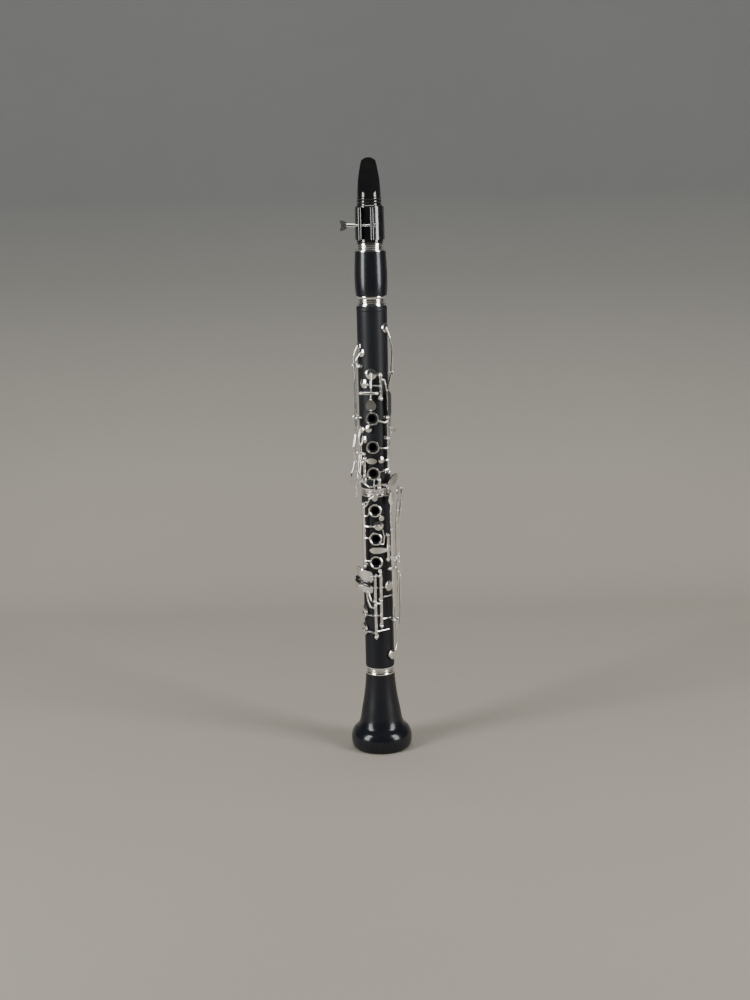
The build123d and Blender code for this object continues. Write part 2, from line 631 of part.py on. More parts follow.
def e_flat_sliver_key():
    phi, z, radius = -61, 290.5, 3.3
    pad_hole(phi, z, radius, UPPER_HOLES)
    hinge = RodHinge(-37, 280.4, 293.4, 17.0)
    rod_between(hinge, "upper")
    metal = [cup(phi, z, radius, UPPER_R)]
    metal += limb((phi, cup_top(UPPER_R), z, 0.6), (-48, 16.1, z, 0.7), (-37, 17.0, z, 1.0))
    plate = pipe(290.2, 296.2, 18.1, 17.0)
    trim = extrude(Plane.XZ * make_face(Curve() + [Spline((-7.8, 294.9), (-4.4, 296.1), (-0.5, 295.4),
                                                          (1.6, 293.4),
                                                          (0.2, 291.4), (-4.4, 290.6), (-7.8, 291.7)),
                                                   Line((-7.8, 291.7), (-7.8, 294.9))]), 30)
    metal.append(plate & trim)
    metal += limb((-37, 17.0, 292.2, 1.1), (-27, 17.6, 293.4, 1.0))
    return key(hinge, metal, [pad(phi, z, radius, UPPER_R)])


def c_sharp_key():
    phi, z, radius = -50, 273.4, 3.9
    pad_hole(phi, z, radius, UPPER_HOLES)
    hinge = RodHinge(11, 269.4, 273.4, 18.9)
    rod_between(hinge, "upper")
    metal = [cup(phi, z, radius, UPPER_R)]
    metal += limb((phi, cup_top(UPPER_R), z, 0.9), (-36, 17.6, 270.6, 0.85), (-20, 19.0, 268.6, 0.85),
                  (-4, 19.2, 268.9, 0.85), (5, 19.2, 270.6, 0.9), (11, 18.9, 271.4, 1.1))
    metal += limb((12.5, 19.0, 270.9, 1.15), (22, 19.9, 270.0, 1.1), (30, 20.6, 270.2, 1.2))
    outline = [(-8.0, -5.0), (-2.5, -5.3), (4.0, -2.4), (7.6, 2.6), (7.0, 6.4), (2.6, 6.6),
               (-2.0, 3.6), (-6.0, -1.0)]
    metal.append(leaf(48, 21.2, 272.8, outline, 1.3))
    return key(hinge, metal, [pad(phi, z, radius, UPPER_R)])


# ---------------------------------------------------------------- keys of the lower joint
def lower_ring_key():
    vent_phi, vent_z, vent_r = 6.8, 229.6, 4.6
    pad_hole(vent_phi, vent_z, vent_r, LOWER_HOLES)
    hinge = RodHinge(-41, 191.4, 249.0)
    rod_between(hinge, "lower")
    level = ring_level(LOWER_R)
    top = cup_top(LOWER_R)
    metal = [finger_ring(LOWER_LINE, z, LOWER_R) for z in (R1, R2, R3)]
    metal.append(cup(vent_phi, vent_z, vent_r, LOWER_R))
    for z_rod, z_ring in ((239.4, 241.8), (217.6, 217.2), (195.0, 194.2)):
        metal += limb((-41, ROD_LINE_R, z_rod, 1.1), (-32, 18.4, z_rod, 0.9),
                      (-25.5, level + 0.6, z_ring, 0.85))
    metal += limb((-41, ROD_LINE_R, 229.2, 1.1), (-24, 18.0, 229.2, 0.9), (-8, 17.4, 229.4, 0.9),
                  (vent_phi, top, vent_z, 0.9))
    metal += limb((12, level + 0.1, 240.6, 0.8), (16, level, 238.0, 0.8))
    metal.append(skin(17, level, 237.0) * Cylinder(2.6, 1.1))
    metal += limb((13, top - 0.1, 227.6, 0.7), (20, 17.2, 225.6, 0.62), (24, 17.6, 219, 0.62),
                  (21.5, 17.4, 211.8, 0.62),
                  (14, level + 0.3, 211.6, 0.6))
    metal += limb((-40.5, ROD_LINE_R + 0.1, 247.4, 1.1), (-29, 18.4, 250.4, 0.9), (-20, 18.5, 256.6, 0.9),
                  (-8, 18.1, 258.8, 0.9))
    metal.append(leaf(-3.5, 18.0, 258.8, oval(3.1, 4.4), 1.2))
    return key(hinge, metal, [pad(vent_phi, vent_z, vent_r, LOWER_R)], open_by=-4.2)


def b_sliver_key():
    phi, z, radius = 62, 206.0, 3.3
    pad_hole(phi, z, radius, LOWER_HOLES)
    hinge = RodHinge(38, 197.0, 217.5, 17.0)
    rod_between(hinge, "lower")
    metal = [cup(phi, z, radius, LOWER_R)]
    metal += limb((phi, cup_top(LOWER_R), z, 0.6), (50, 15.9, z, 0.7), (38, 17.0, z, 1.0))
    plate = pipe(202.4, 208.4, 18.0, 16.9)
    trim = extrude(Plane.XZ * make_face(Curve() + [Spline((9.6, 206.8), (4, 208.2), (-5.0, 207.9),
                                                          (-7.6, 205.6),
                                                          (-5.4, 203.2), (3, 202.6), (9.6, 203.8)),
                                                   Line((9.6, 203.8), (9.6, 206.8))]), 30)
    metal.append(plate & trim)
    metal += limb((38, 17.0, 205.2, 1.1), (32, 17.4, 205.2, 1.0))
    return key(hinge, metal, [pad(phi, z, radius, LOWER_R)])


ROD_A = -9.0
ROD_B = 8.0
CUP_PHI = -70.0
TOUCH_R = 21.9
OUTER_TOUCH_R = 21.2


def touch_plate(phi0, phi1, z0, z1, r, corner=1.2, lean=0.0):
    """A curved touch that follows the body, between two angles; lean tilts its lower edge."""
    shell = pipe(z0 - 8, z1 + 8, r + 0.6, r - 0.6)
    middle = (phi0 + phi1) / 2
    half = r * radians(phi1 - phi0) / 2
    tall = (z1 - z0) / 2
    face = Polyline((-half, -tall + lean), (half, -tall - lean), (half, tall - lean),
                    (-half, tall + lean), close=True)
    blank = fillet(make_face(face).vertices(), corner)
    return shell & (skin(middle, r, (z0 + z1) / 2) * extrude(blank, 6, both=True))


def a_flat_key():
    phi, z, radius = 46, 168.0, 5.2
    pad_hole(phi, z, radius, LOWER_HOLES)
    hinge = RodHinge(ROD_A, 152.9, 177.6)
    rod_between(hinge, "lower", low="half")
    metal = [cup(phi, z, radius, LOWER_R)]
    metal += limb((ROD_A, ROD_LINE_R, z, 1.1), (0, 16.6, z, 0.7), (8, 15.7, z, 0.65), (25, 17.7, z, 0.7),
                  (phi, cup_top(LOWER_R), z, 0.9))
    metal += limb((ROD_A, ROD_LINE_R, 176.2, 1.1), (-28, 18.0, 177.4, 0.9), (-47, 18.4, 180.5, 1.0),
                  (-52, OUTER_TOUCH_R - 0.3, 182, 1.1))
    metal.append(touch_plate(-71, -46.5, 176.6, 188.2, OUTER_TOUCH_R, 2.6, 1.2))
    return key(hinge, metal, [pad(phi, z, radius, LOWER_R)])


def f_c_key():
    phi, z, radius = CUP_PHI, 123.6, 6.6
    pad_hole(phi, z, radius, LOWER_HOLES)
    hinge = RodHinge(ROD_A, 120.2, 149.2)
    rod_between(hinge, "lower", high="share")
    top = cup_top(LOWER_R)
    metal = [cup(phi, z, radius, LOWER_R)]
    metal += limb((ROD_A, ROD_LINE_R, 122.4, 1.1), (-30, 18.0, z, 0.95), (-52, 17.2, z, 0.95),
                  (phi, top, z, 1.0))
    metal += limb((ROD_A, ROD_LINE_R, 124.4, 1.1), (4, 17.2, 124.4, 0.8), (22, 16.4, 124.4, 0.8),
                  (36, 17.0, 124.6, 0.8))
    metal += limb((ROD_A, ROD_LINE_R, 148.0, 1.1), (-26, 18.2, 149.0, 0.9), (-34, 18.2, 156, 0.9),
                  (-36, 18.2, 164, 0.9),
                  (-50, 18.6, 168.5, 1.0), (-54, OUTER_TOUCH_R - 0.3, 169.5, 1.1))
    metal.append(touch_plate(-76, -46.5, 165.2, 173.2, OUTER_TOUCH_R, 2.6, 1.2))
    return key(hinge, metal, [pad(phi, z, radius, LOWER_R)], open_by=6.5)


def f_sharp_key():
    phi, z, radius = CUP_PHI, 141.4, 6.6
    pad_hole(phi, z, radius, LOWER_HOLES)
    hinge = RodHinge(ROD_B, 131.6, 153.8)
    rod_between(hinge, "lower", high="share")
    top = cup_top(LOWER_R)
    metal = [cup(phi, z, radius, LOWER_R)]
    metal += limb((ROD_B, ROD_LINE_R, z, 1.1), (2, 21.0, z, 0.85), (-9, 22.0, z, 0.85),
                  (-20, 21.4, z, 0.85),
                  (-40, 19.0, z, 0.9), (-56, 17.4, z, 0.9), (phi, top, z, 1.0))
    metal += limb((ROD_B, ROD_LINE_R, 137.0, 1.1), (22, 18.4, 137.0, 0.85), (38, 18.0, 137.0, 0.85))
    metal += limb((ROD_B, ROD_LINE_R, 152.4, 1.1), (2, 21.2, 153.2, 0.85), (-9, 22.2, 154.4, 0.85),
                  (-20, 22.2, 157, 0.85), (-28, TOUCH_R + 0.1, 165.4, 1.0))
    metal.append(touch_plate(-43.0, -15.5, 164.4, 172.4, TOUCH_R, 2.4, 0.8))
    return key(hinge, metal, [pad(phi, z, radius, LOWER_R)], open_by=5.6)


def e_b_key():
    hinge = RodHinge(ROD_B, 157.4, 182.2)
    rod_between(hinge, "lower", low="half")
    metal = limb((ROD_B, ROD_LINE_R, 159.0, 1.1), (22, 17.6, 158.8, 0.85), (40, 16.8, 158.6, 0.85),
                 (57, 16.8, 158.6, 0.85))
    metal += limb((ROD_B, ROD_LINE_R, 180.8, 1.1), (2, 21.2, 180.8, 0.85), (-9, 22.2, 180.8, 0.85),
                  (-18, TOUCH_R + 0.1, 180.8, 1.0))
    metal.append(touch_plate(-43.0, -15.5, 174.8, 186.4, TOUCH_R, 2.4, 0.8))
    return key(hinge, metal, (), open_by=5.6)


def e_b_pad_lever():
    phi, z, radius = 50, 98.3, 5.0
    pad_hole(phi, z, radius, LOWER_HOLES)
    lane = 57
    hinge = AxleHinge(lane, 19.6, 134.0, -1.3, 1.3)
    axle_between(lane, 19.6, 134.0, -1.3, 1.3, "lower")
    metal = [cup(phi, z, radius, LOWER_R)]
    metal += limb((phi, cup_top(LOWER_R), z, 1.0), (52, 18.6, 103, 0.95), (lane, 19.4, 109, 0.9),
                  (lane, 19.8, 120, 0.9), (lane, 19.6, 134, 1.1), (lane, 19.6, 148, 0.9),
                  (lane, 19.2, 158.6, 0.95))
    return key(hinge, metal, [pad(phi, z, radius, LOWER_R)], open_by=-2.8)


LEFT_LEVERS = {
    # name: (lane phi, r low, pivot z, low end z, touch z, touch r, touch outline, turn of the foot)
    "left_f_sharp_lever": (42.5, 21.6, 187.0, 140.0, 256.5, 21.4, (3.1, 7.2, 0.10)),
    "left_e_b_lever": (65.5, 21.4, 196.0, 156.0, 259.5, 23.4, (2.6, 7.6, 0.05)),
    "left_f_c_lever": (88.0, 21.4, 190.0, 127.0, 256.0, 24.4, (2.6, 7.4, 0.0)),
}


def left_lever(name):
    """A long rocking lever for the left little finger: its foot lifts as the touch goes down."""
    lane, r, pivot, low, touch_z, touch_r, (half_w, half_h, lean) = LEFT_LEVERS[name]
    hinge = AxleHinge(lane, r - 0.6, pivot, -1.3, 1.3)
    axle_between(lane, r - 0.6, pivot, -1.3, 1.3, "lower")
    metal = limb((lane, r - 0.9, low, 0.8), (lane, r, low + 12, 0.95), (lane, r, pivot - 14, 1.25),
                 (lane, r - 0.6, pivot, 1.3), (lane, r - 0.6, 226, 1.3), (lane, touch_r - 1.2, 243, 1.25),
                 (lane, touch_r - 0.2, touch_z - half_h + 2.5, 1.0))
    metal.append(leaf(lane, touch_r, touch_z, oval(half_w, half_h, lean), 1.4))
    return key(hinge, metal)


# ---------------------------------------------------------------- fixed fittings
def register_tube():
    phi, z = 56, 419.0
    tube = drilled(phi, z, BORE_R - 2.2, UPPER_R - SEAT_DEPTH - 0.1, 2.66)
    return tube - drilled(phi, z, 2, UPPER_R + 3, 1.6)


def thumb_bushing():
    return drilled(180, THUMB_Z, BORE_R + 0.4, UPPER_R + CHIMNEY_RISE - 0.3, 3.37) - drilled(180,
                                                                                             THUMB_Z,
                                                                                             2, 20, 2.7)


REST_Z = 226.0


def thumb_rest():
    """The hooked plate on the back that carries the instrument on the right thumb."""
    plate = skin(180, LOWER_R + 1.0, REST_Z) * Box(11.0, 26.0, 2.0)
    plate = fillet(plate.edges().filter_by(Axis.Y), 3.0)
    hook = skin(180, LOWER_R + 8.5, REST_Z + 4.0) * Box(11.0, 1.8, 15.0)
    hook = fillet(hook.edges().filter_by(Axis.Z), 0.6)
    rest = plate + hook
    rest -= [drilled(180, z, LOWER_R - 1, LOWER_R + 5, 1.3) for z in (REST_Z - 9, REST_Z + 10)]
    return rest - pipe(REST_Z - 20, REST_Z + 20, LOWER_R + 0.02)


def thumb_rest_screws():
    screws = []
    for z in (REST_Z - 9, REST_Z + 10):
        head = skin(180, LOWER_R + 2.45, z) * Cylinder(2.1, 0.85)
        slot = skin(180, LOWER_R + 2.8, z) * Box(4.4, 0.5, 0.6)
        shank = drilled(180, z, LOWER_R + 0.1, LOWER_R + 2.2, 1.25)
        screws.append(head + shank - slot)
    return screws


def posts(side, body_r):
    """All posts of one joint, trimmed to the body's skin and drilled for their rods."""
    skin_cut = pipe(BELL_TOP, UPPER_TOP, body_r + 0.01)
    finished = []
    for pieces in POSTS[side]:
        body = fused(pieces) - skin_cut
        centre = pieces[-1].center()
        for a, b in RODS:
            along = (b - a).normalized()
            offset = (centre - a) - along * (centre - a).dot(along)
            reached = -BALL_R < (centre - a).dot(along) < (b - a).length + BALL_R
            if offset.length < 0.1 and reached:
                body -= bar(centre - along * 3, centre + along * 3, ROD_R + FIT)
                break
        finished.append(body)
    return finished


def hinge_rods():
    return [bar(a, b, ROD_R) for a, b in RODS]


# ---------------------------------------------------------------- build and write
def save(node, shape):
    """Write one node; lists become a group of separate solids."""
    if isinstance(shape, (list, tuple)):
        shape = Compound(children=[solid for item in shape for solid in item.solids()])
    export_step(shape, os.path.join("parts", node + ".step"))


def main():
    os.makedirs("parts", exist_ok=True)
    moving = {"register_key": register_key(), "a_key": a_key(), "g_sharp_key": g_sharp_key()}
    for name in SIDE_KEYS:
        moving[name] = side_key(name)
    side_axles()
    moving["l1_ring_key"] = l1_ring_key()
    moving["l23_ring_key"] = l23_ring_key()
    moving["thumb_ring_key"] = thumb_ring_key()
    moving["e_flat_sliver_key"] = e_flat_sliver_key()
    moving["c_sharp_key"] = c_sharp_key()
    moving["lower_ring_key"] = lower_ring_key()
    moving["b_sliver_key"] = b_sliver_key()
    moving["a_flat_key"] = a_flat_key()
    moving["f_c_key"] = f_c_key()
    moving["f_sharp_key"] = f_sharp_key()
    moving["e_b_key"] = e_b_key()
    moving["e_b_pad_lever"] = e_b_pad_lever()
    for name in LEFT_LEVERS:
        moving[name] = left_lever(name)
    for name, (metal, felt) in moving.items():
        save(name, metal)
        if felt:
            save(name + "_pad", felt)
    save("mouthpiece", mouthpiece())
    save("reed", reed())
    save("ligature_band", ligature_band())
    save("ligature_screw", ligature_screw())
    save("tenon_corks", tenon_corks())
    save("barrel", barrel())
    save("barrel_rings", barrel_rings())
    save("upper_joint", upper_joint())
    save("lower_joint", lower_joint())
    save("middle_ring", middle_ring())
    save("bell", bell())
    save("bell_ring", bell_ring())
    save("register_tube", register_tube())
    save("thumb_bushing", thumb_bushing())
    save("thumb_rest", thumb_rest())
    save("thumb_rest_screws", thumb_rest_screws())
    save("upper_posts", posts("upper", UPPER_R))
    save("lower_posts", posts("lower", LOWER_R))
    save("hinge_rods", hinge_rods())


if __name__ == "__main__":
    main()
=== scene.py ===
import json
from math import cos, pi, radians, sin

import bmesh
import bpy
from mathutils import Matrix, Vector


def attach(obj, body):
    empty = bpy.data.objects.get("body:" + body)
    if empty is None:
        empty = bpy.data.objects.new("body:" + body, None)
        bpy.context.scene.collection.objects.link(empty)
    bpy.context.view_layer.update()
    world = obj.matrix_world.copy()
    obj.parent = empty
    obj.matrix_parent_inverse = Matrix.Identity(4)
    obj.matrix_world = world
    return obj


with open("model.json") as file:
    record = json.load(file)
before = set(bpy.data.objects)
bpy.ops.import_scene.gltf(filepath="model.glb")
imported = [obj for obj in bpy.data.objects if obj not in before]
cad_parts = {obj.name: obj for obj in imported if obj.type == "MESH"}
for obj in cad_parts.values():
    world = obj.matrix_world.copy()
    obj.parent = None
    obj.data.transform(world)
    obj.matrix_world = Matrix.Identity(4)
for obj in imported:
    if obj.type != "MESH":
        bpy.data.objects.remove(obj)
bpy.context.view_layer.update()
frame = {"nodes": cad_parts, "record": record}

MM = 0.001
NODES = frame["nodes"]
SLOT_OF = {part["node"]: part["material_slot"] for part in frame["record"]["subparts"]}


# ---------------------------------------------------------------- node helpers
class Shader:
    """A Principled material whose colour, roughness and bump come from procedural nodes."""

    def __init__(self, name, **constants):
        self.material = bpy.data.materials.new(name)
        self.material.use_nodes = True
        self.tree = self.material.node_tree
        self.surface = self.tree.nodes["Principled BSDF"]
        for socket, value in constants.items():
            self.surface.inputs[socket.replace("_", " ")].default_value = value
        self.place = self.node("ShaderNodeTexCoord").outputs["Object"]

    def node(self, kind, **values):
        made = self.tree.nodes.new(kind)
        for key, value in values.items():
            made.inputs[key.replace("_", " ")].default_value = value
        return made

    def join(self, source, target):
        self.tree.links.new(source, target)

    def stretched(self, scale):
        mapping = self.node("ShaderNodeMapping", Scale=scale)
        self.join(self.place, mapping.inputs["Vector"])
        return mapping.outputs["Vector"]

    def noise(self, scale, detail=4.0, rough=0.55, stretch=(1, 1, 1)):
        made = self.node("ShaderNodeTexNoise", Scale=scale, Detail=detail, Roughness=rough)
        self.join(self.stretched(stretch), made.inputs["Vector"])
        return made.outputs["Fac"]

    def turning_marks(self, scale):
        """Fine rings round Z, as a lathe leaves them."""
        made = self.node("ShaderNodeTexWave", Scale=scale)
        made.bands_direction = "Z"
        self.join(self.place, made.inputs["Vector"])
        return made.outputs["Fac"]

    def height(self):
        split = self.node("ShaderNodeSeparateXYZ")
        self.join(self.place, split.inputs["Vector"])
        return split.outputs["Z"]

    def ramp(self, source, stops):
        made = self.node("ShaderNodeValToRGB")
        elements = made.color_ramp.elements
        while len(elements) < len(stops):
            elements.new(0.5)
        for element, (at, colour) in zip(elements, stops):
            element.position = at
            element.color = (*colour, 1.0)
        self.join(source, made.inputs["Fac"])
        return made.outputs["Color"]

    def between(self, source, low, high, out_low, out_high):
        made = self.node("ShaderNodeMapRange")
        limits = {"From Min": low, "From Max": high, "To Min": out_low, "To Max": out_high}
        for key, value in limits.items():
            made.inputs[key].default_value = value
        self.join(source, made.inputs["Value"])
        return made.outputs["Result"]

    def colour(self, source, stops):
        self.join(self.ramp(source, stops), self.surface.inputs["Base Color"])

    def roughness(self, source, low, high):
        self.join(self.between(source, 0.3, 0.7, low, high), self.surface.inputs["Roughness"])

    def bump(self, source, depth, strength):
        made = self.node("ShaderNodeBump", Strength=strength, Distance=depth)
        self.join(source, made.inputs["Height"])
        last = self.surface.inputs["Normal"]
        if last.is_linked:
            self.join(last.links[0].from_socket, made.inputs["Normal"])
        self.join(made.outputs["Normal"], last)


# ---------------------------------------------------------------- materials
def satin_black(name, rough, coat):
    """Near-black body material with a fine lengthwise grain and a faint blue cast."""
    s = Shader(name, Coat_Weight=coat, Coat_Roughness=rough * 0.6, Specular_IOR_Level=0.25)
    grain = s.noise(900, 5, 0.6, (1, 1, 0.06))
    cloud = s.noise(38, 3, 0.5)
    s.colour(grain, [(0.3, (0.0050, 0.0056, 0.0078)), (0.7, (0.0095, 0.0105, 0.0140))])
    s.roughness(cloud, rough * 0.88, rough * 1.14)
    s.bump(grain, 0.00005, 0.30)
    s.bump(s.noise(4200, 2, 0.6), 0.00002, 0.2)
    return s


def body_resin():
    return satin_black("body_resin", 0.45, 0.06).material


def polished_resin():
    return satin_black("polished_resin", 0.29, 0.40).material


BELL_GLOSSY_BELOW = 22 * MM
BELL_SATIN_ABOVE = 34 * MM
BELL_RIM_SHARE = 0.42      # the rim's roughness as a share of the cone's


def bell_resin():
    """Satin cone that turns glossy over the rounded rim."""
    s = satin_black("bell_resin", 0.36, 0.2)
    rough = s.surface.inputs["Roughness"]
    worn = rough.links[0].from_socket
    share = s.between(s.height(), BELL_GLOSSY_BELOW, BELL_SATIN_ABOVE, BELL_RIM_SHARE, 1.0)
    product = s.node("ShaderNodeMath")
    product.operation = "MULTIPLY"
    s.join(worn, product.inputs[0])
    s.join(share, product.inputs[1])
    s.join(product.outputs["Value"], rough)
    return s.material


def ebonite():
    s = Shader("ebonite", Coat_Weight=0.5, Coat_Roughness=0.05, Specular_IOR_Level=0.55)
    polish = s.noise(60, 4, 0.5)
    s.colour(polish, [(0.3, (0.0045, 0.0045, 0.0050)), (0.75, (0.0085, 0.0083, 0.0080))])
    s.roughness(s.noise(260, 5, 0.6), 0.10, 0.19)
    s.bump(s.turning_marks(900), 0.00002, 0.10)
    s.bump(polish, 0.00010, 0.10)
    return s.material


def ligature_black():
    s = Shader("ligature_black", Coat_Weight=0.7, Coat_Roughness=0.06, Specular_IOR_Level=0.6)
    smear = s.noise(160, 4, 0.6)
    s.colour(smear, [(0.3, (0.006, 0.006, 0.0065)), (0.75, (0.011, 0.011, 0.011))])
    s.roughness(smear, 0.12, 0.26)
    s.bump(s.noise(2200, 2, 0.5), 0.00003, 0.15)
    return s.material


def plating(name, low, high, rough):
    s = Shader(name, Metallic=1.0)
    tarnish = s.noise(120, 5, 0.6)
    s.colour(tarnish, [(0.25, low), (0.62, high)])
    s.roughness(s.noise(700, 4, 0.6), rough * 0.7, rough * 1.5)
    s.bump(s.noise(170, 2, 0.4), 0.00022, 0.14)
    s.bump(s.noise(800, 3, 0.5), 0.00006, 0.16)
    return s.material


def silver_plate():
    return plating("silver_plate", (0.82, 0.80, 0.75), (0.96, 0.95, 0.93), 0.13)


def nickel():
    return plating("nickel", (0.62, 0.60, 0.55), (0.78, 0.76, 0.71), 0.17)


def steel():
    s = Shader("steel", Metallic=1.0)
    turning = s.noise(2600, 3, 0.6, (1, 1, 0.2))
    s.colour(turning, [(0.3, (0.40, 0.41, 0.43)), (0.7, (0.60, 0.61, 0.63))])
    s.roughness(turning, 0.20, 0.34)
    s.bump(turning, 0.00002, 0.3)
    return s.material


def blued_steel():
    s = Shader("blued_steel", Metallic=1.0)
    heat = s.noise(300, 3, 0.5)
    s.colour(heat, [(0.3, (0.05, 0.07, 0.14)), (0.7, (0.14, 0.16, 0.22))])
    s.roughness(heat, 0.22, 0.36)
    return s.material


def cane():
    s = Shader("cane", Specular_IOR_Level=0.35)
    fibre = s.noise(2600, 5, 0.65, (1, 1, 0.015))
    patch = s.noise(90, 3, 0.5, (1, 1, 0.4))
    s.colour(fibre, [(0.28, (0.50, 0.34, 0.13)), (0.55, (0.72, 0.56, 0.28)), (0.8, (0.82, 0.70, 0.42))])
    s.roughness(patch, 0.48, 0.68)
    s.bump(fibre, 0.00008, 0.5)
    return s.material


def cork():
    s = Shader("cork", Specular_IOR_Level=0.2)
    grain = s.node("ShaderNodeTexVoronoi", Scale=1400)
    s.join(s.place, grain.inputs["Vector"])
    s.colour(grain.outputs["Distance"], [(0.1, (0.22, 0.12, 0.05)), (0.5, (0.52, 0.35, 0.19))])
    s.roughness(s.noise(500), 0.75, 0.92)
    s.bump(grain.outputs["Distance"], 0.00012, 0.6)
    return s.material


def pad_skin():
    s = Shader("pad_skin", Sheen_Weight=0.3, Sheen_Roughness=0.5, Specular_IOR_Level=0.3)
    felt = s.noise(1600, 5, 0.65)
    s.colour(felt, [(0.3, (0.58, 0.50, 0.36)), (0.7, (0.78, 0.72, 0.58))])
    s.roughness(felt, 0.6, 0.8)
    s.bump(felt, 0.00010, 0.5)
    return s.material


def roller_black():
    s = Shader("roller_black", Coat_Weight=0.6, Coat_Roughness=0.08)
    wear = s.noise(500, 4, 0.6)
    s.colour(wear, [(0.3, (0.006, 0.006, 0.006)), (0.7, (0.013, 0.013, 0.013))])
    s.roughness(wear, 0.14, 0.28)
    return s.material


WALL_SHADE_FROM = 0.52      # the height where the floor's tone has turned fully into the wall's painted shade, in metres


def backdrop_paper():
    s = Shader("backdrop_paper", Specular_IOR_Level=0.15)
    patch = s.noise(1.6, 3, 0.5)
    # Painted shade: the same paper is coloured darker up the wall than on the floor, standing in for the
    # light that falls off towards the wall.
    wall_shade_share = s.between(s.height(), 0.0, WALL_SHADE_FROM, 0.0, 1.0)
    floor_tone = s.ramp(patch, [(0.3, (0.288, 0.267, 0.227)), (0.7, (0.305, 0.283, 0.240))])
    shaded_wall_tone = s.ramp(patch, [(0.3, (0.118, 0.121, 0.117)), (0.7, (0.125, 0.128, 0.124))])
    shade_blend = s.node("ShaderNodeMix")
    shade_blend.data_type = "RGBA"
    s.join(wall_shade_share, shade_blend.inputs["Factor"])
    s.join(floor_tone, shade_blend.inputs[6])
    s.join(shaded_wall_tone, shade_blend.inputs[7])
    s.join(shade_blend.outputs[2], s.surface.inputs["Base Color"])
    s.roughness(s.noise(30), 0.75, 0.88)
    s.bump(s.noise(260, 4, 0.6), 0.0003, 0.12)
    return s.material


MATERIALS = {
    "body_resin": body_resin(),
    "ebonite": ebonite(),
    "silver_plate": silver_plate(),
    "nickel": nickel(),
    "steel": steel(),
    "cane": cane(),
    "cork": cork(),
    "pad_skin": pad_skin(),
}
SPRING_STEEL = blued_steel()
ROLLER = roller_black()
OWN_FINISH = {
    "ligature_band": ligature_black(),
    "barrel": polished_resin(),
    "bell": bell_resin(),
}


def finish_cad_nodes():
    for name, obj in NODES.items():
        finish = OWN_FINISH.get(name, MATERIALS[SLOT_OF[name]])
        for place in obj.material_slots:
            place.material = finish
        if not obj.material_slots:
            obj.data.materials.append(finish)


# ---------------------------------------------------------------- detail pieces
def polar(phi, r, z):
    a = radians(phi)
    return Vector((r * sin(a), -r * cos(a), z)) * MM


def new_object(name, data):
    obj = bpy.data.objects.new(name, data)
    bpy.context.scene.collection.objects.link(obj)
    return obj


def smooth_object(name, mesh, finish):
    """An object made from a bmesh, which is used up."""
    data = bpy.data.meshes.new(name)
    mesh.to_mesh(data)
    mesh.free()
    data.materials.append(finish)
    for face in data.polygons:
        face.use_smooth = True
    return new_object(name, data)


def new_piece(name, mesh, finish, body):
    mesh.normal_update()
    obj = smooth_object(name, mesh, finish)
    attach(obj, body)


def lathe(mesh, start, end, outline, steps):
    """Turns (share of the way, radius) stations about the line from start to end, and closes both ends."""
    along = (end - start).normalized()
    across = along.orthogonal().normalized()
    other = along.cross(across)
    rings = []
    for share, radius in outline:
        centre = start.lerp(end, share)
        ring = []
        for i in range(steps):
            a = 2 * pi * i / steps
            ring.append(mesh.verts.new(centre + (across * cos(a) + other * sin(a)) * radius))
        rings.append(ring)
    for low, high in zip(rings, rings[1:]):
        for i in range(steps):
            j = (i + 1) % steps
            mesh.faces.new((low[i], low[j], high[j], high[i]))
    mesh.faces.new(list(reversed(rings[0])))
    mesh.faces.new(rings[-1])


def islands(obj):
    """The separate solids of a node, each as its list of points."""
    mesh = bmesh.new()
    mesh.from_mesh(obj.data)
    bmesh.ops.remove_doubles(mesh, verts=mesh.verts, dist=0.00001)
    left = set(mesh.verts)
    groups = []
    while left:
        seed = left.pop()
        group, queue = [seed.co.copy()], [seed]
        while queue:
            for edge in queue.pop().link_edges:
                for vert in edge.verts:
                    if vert in left:
                        left.discard(vert)
                        group.append(vert.co.copy())
                        queue.append(vert)
        groups.append(group)
    mesh.free()
    return groups


def rod_ends(points):
    """The centres of the two end faces of a straight round bar."""
    middle = sum(points, Vector()) / len(points)
    far = max(points, key=lambda p: (p - middle).length)
    direction = (far - middle).normalized()
    first = [p for p in points if (p - middle).dot(direction) > 0]
    second = [p for p in points if (p - middle).dot(direction) <= 0]
    return sum(first, Vector()) / len(first), sum(second, Vector()) / len(second)


SCREW_HEAD_R = 0.95 * MM
SCREW_HEAD_RISE = 0.30 * MM
SCREW_HEAD_SUNK = 0.05 * MM
SLOT_HALF = 0.14 * MM
SLOT_DEPTH = 0.16 * MM
HALF_DISC_STEPS = 10


def slotted_head(mesh, face, outward):
    """A round-edged screw head with a straight slot, made of two half discs and a sunk floor."""
    across = outward.orthogonal().normalized()
    other = outward.cross(across)
    base = face - outward * SCREW_HEAD_SUNK
    floor_level = SCREW_HEAD_RISE - SLOT_DEPTH
    lathe(mesh, base, face + outward * floor_level, [(0, SCREW_HEAD_R), (1, SCREW_HEAD_R)], 20)
    levels = ((floor_level * 0.9, 1.0), (SCREW_HEAD_RISE * 0.8, 1.0), (SCREW_HEAD_RISE, 0.88))
    start = SLOT_HALF / SCREW_HEAD_R
    for side in (1, -1):
        rim = []
        for i in range(HALF_DISC_STEPS + 1):
            a = start + (pi - 2 * start) * i / HALF_DISC_STEPS
            rim.append((cos(a) * SCREW_HEAD_R, side * sin(a) * SCREW_HEAD_R))
        loops = []
        for height, shrink in levels:
            loops.append([mesh.verts.new(face + outward * height + across * x * shrink
                                         + other * (side * SLOT_HALF + (y - side * SLOT_HALF) * shrink))
                          for x, y in rim])
        for low, high in zip(loops, loops[1:]):
            for i in range(len(rim)):
                j = (i + 1) % len(rim)
                quad = (low[i], low[j], high[j], high[i])
                mesh.faces.new(quad if side == 1 else tuple(reversed(quad)))
        top = loops[-1] if side == 1 else list(reversed(loops[-1]))
        mesh.faces.new(top)


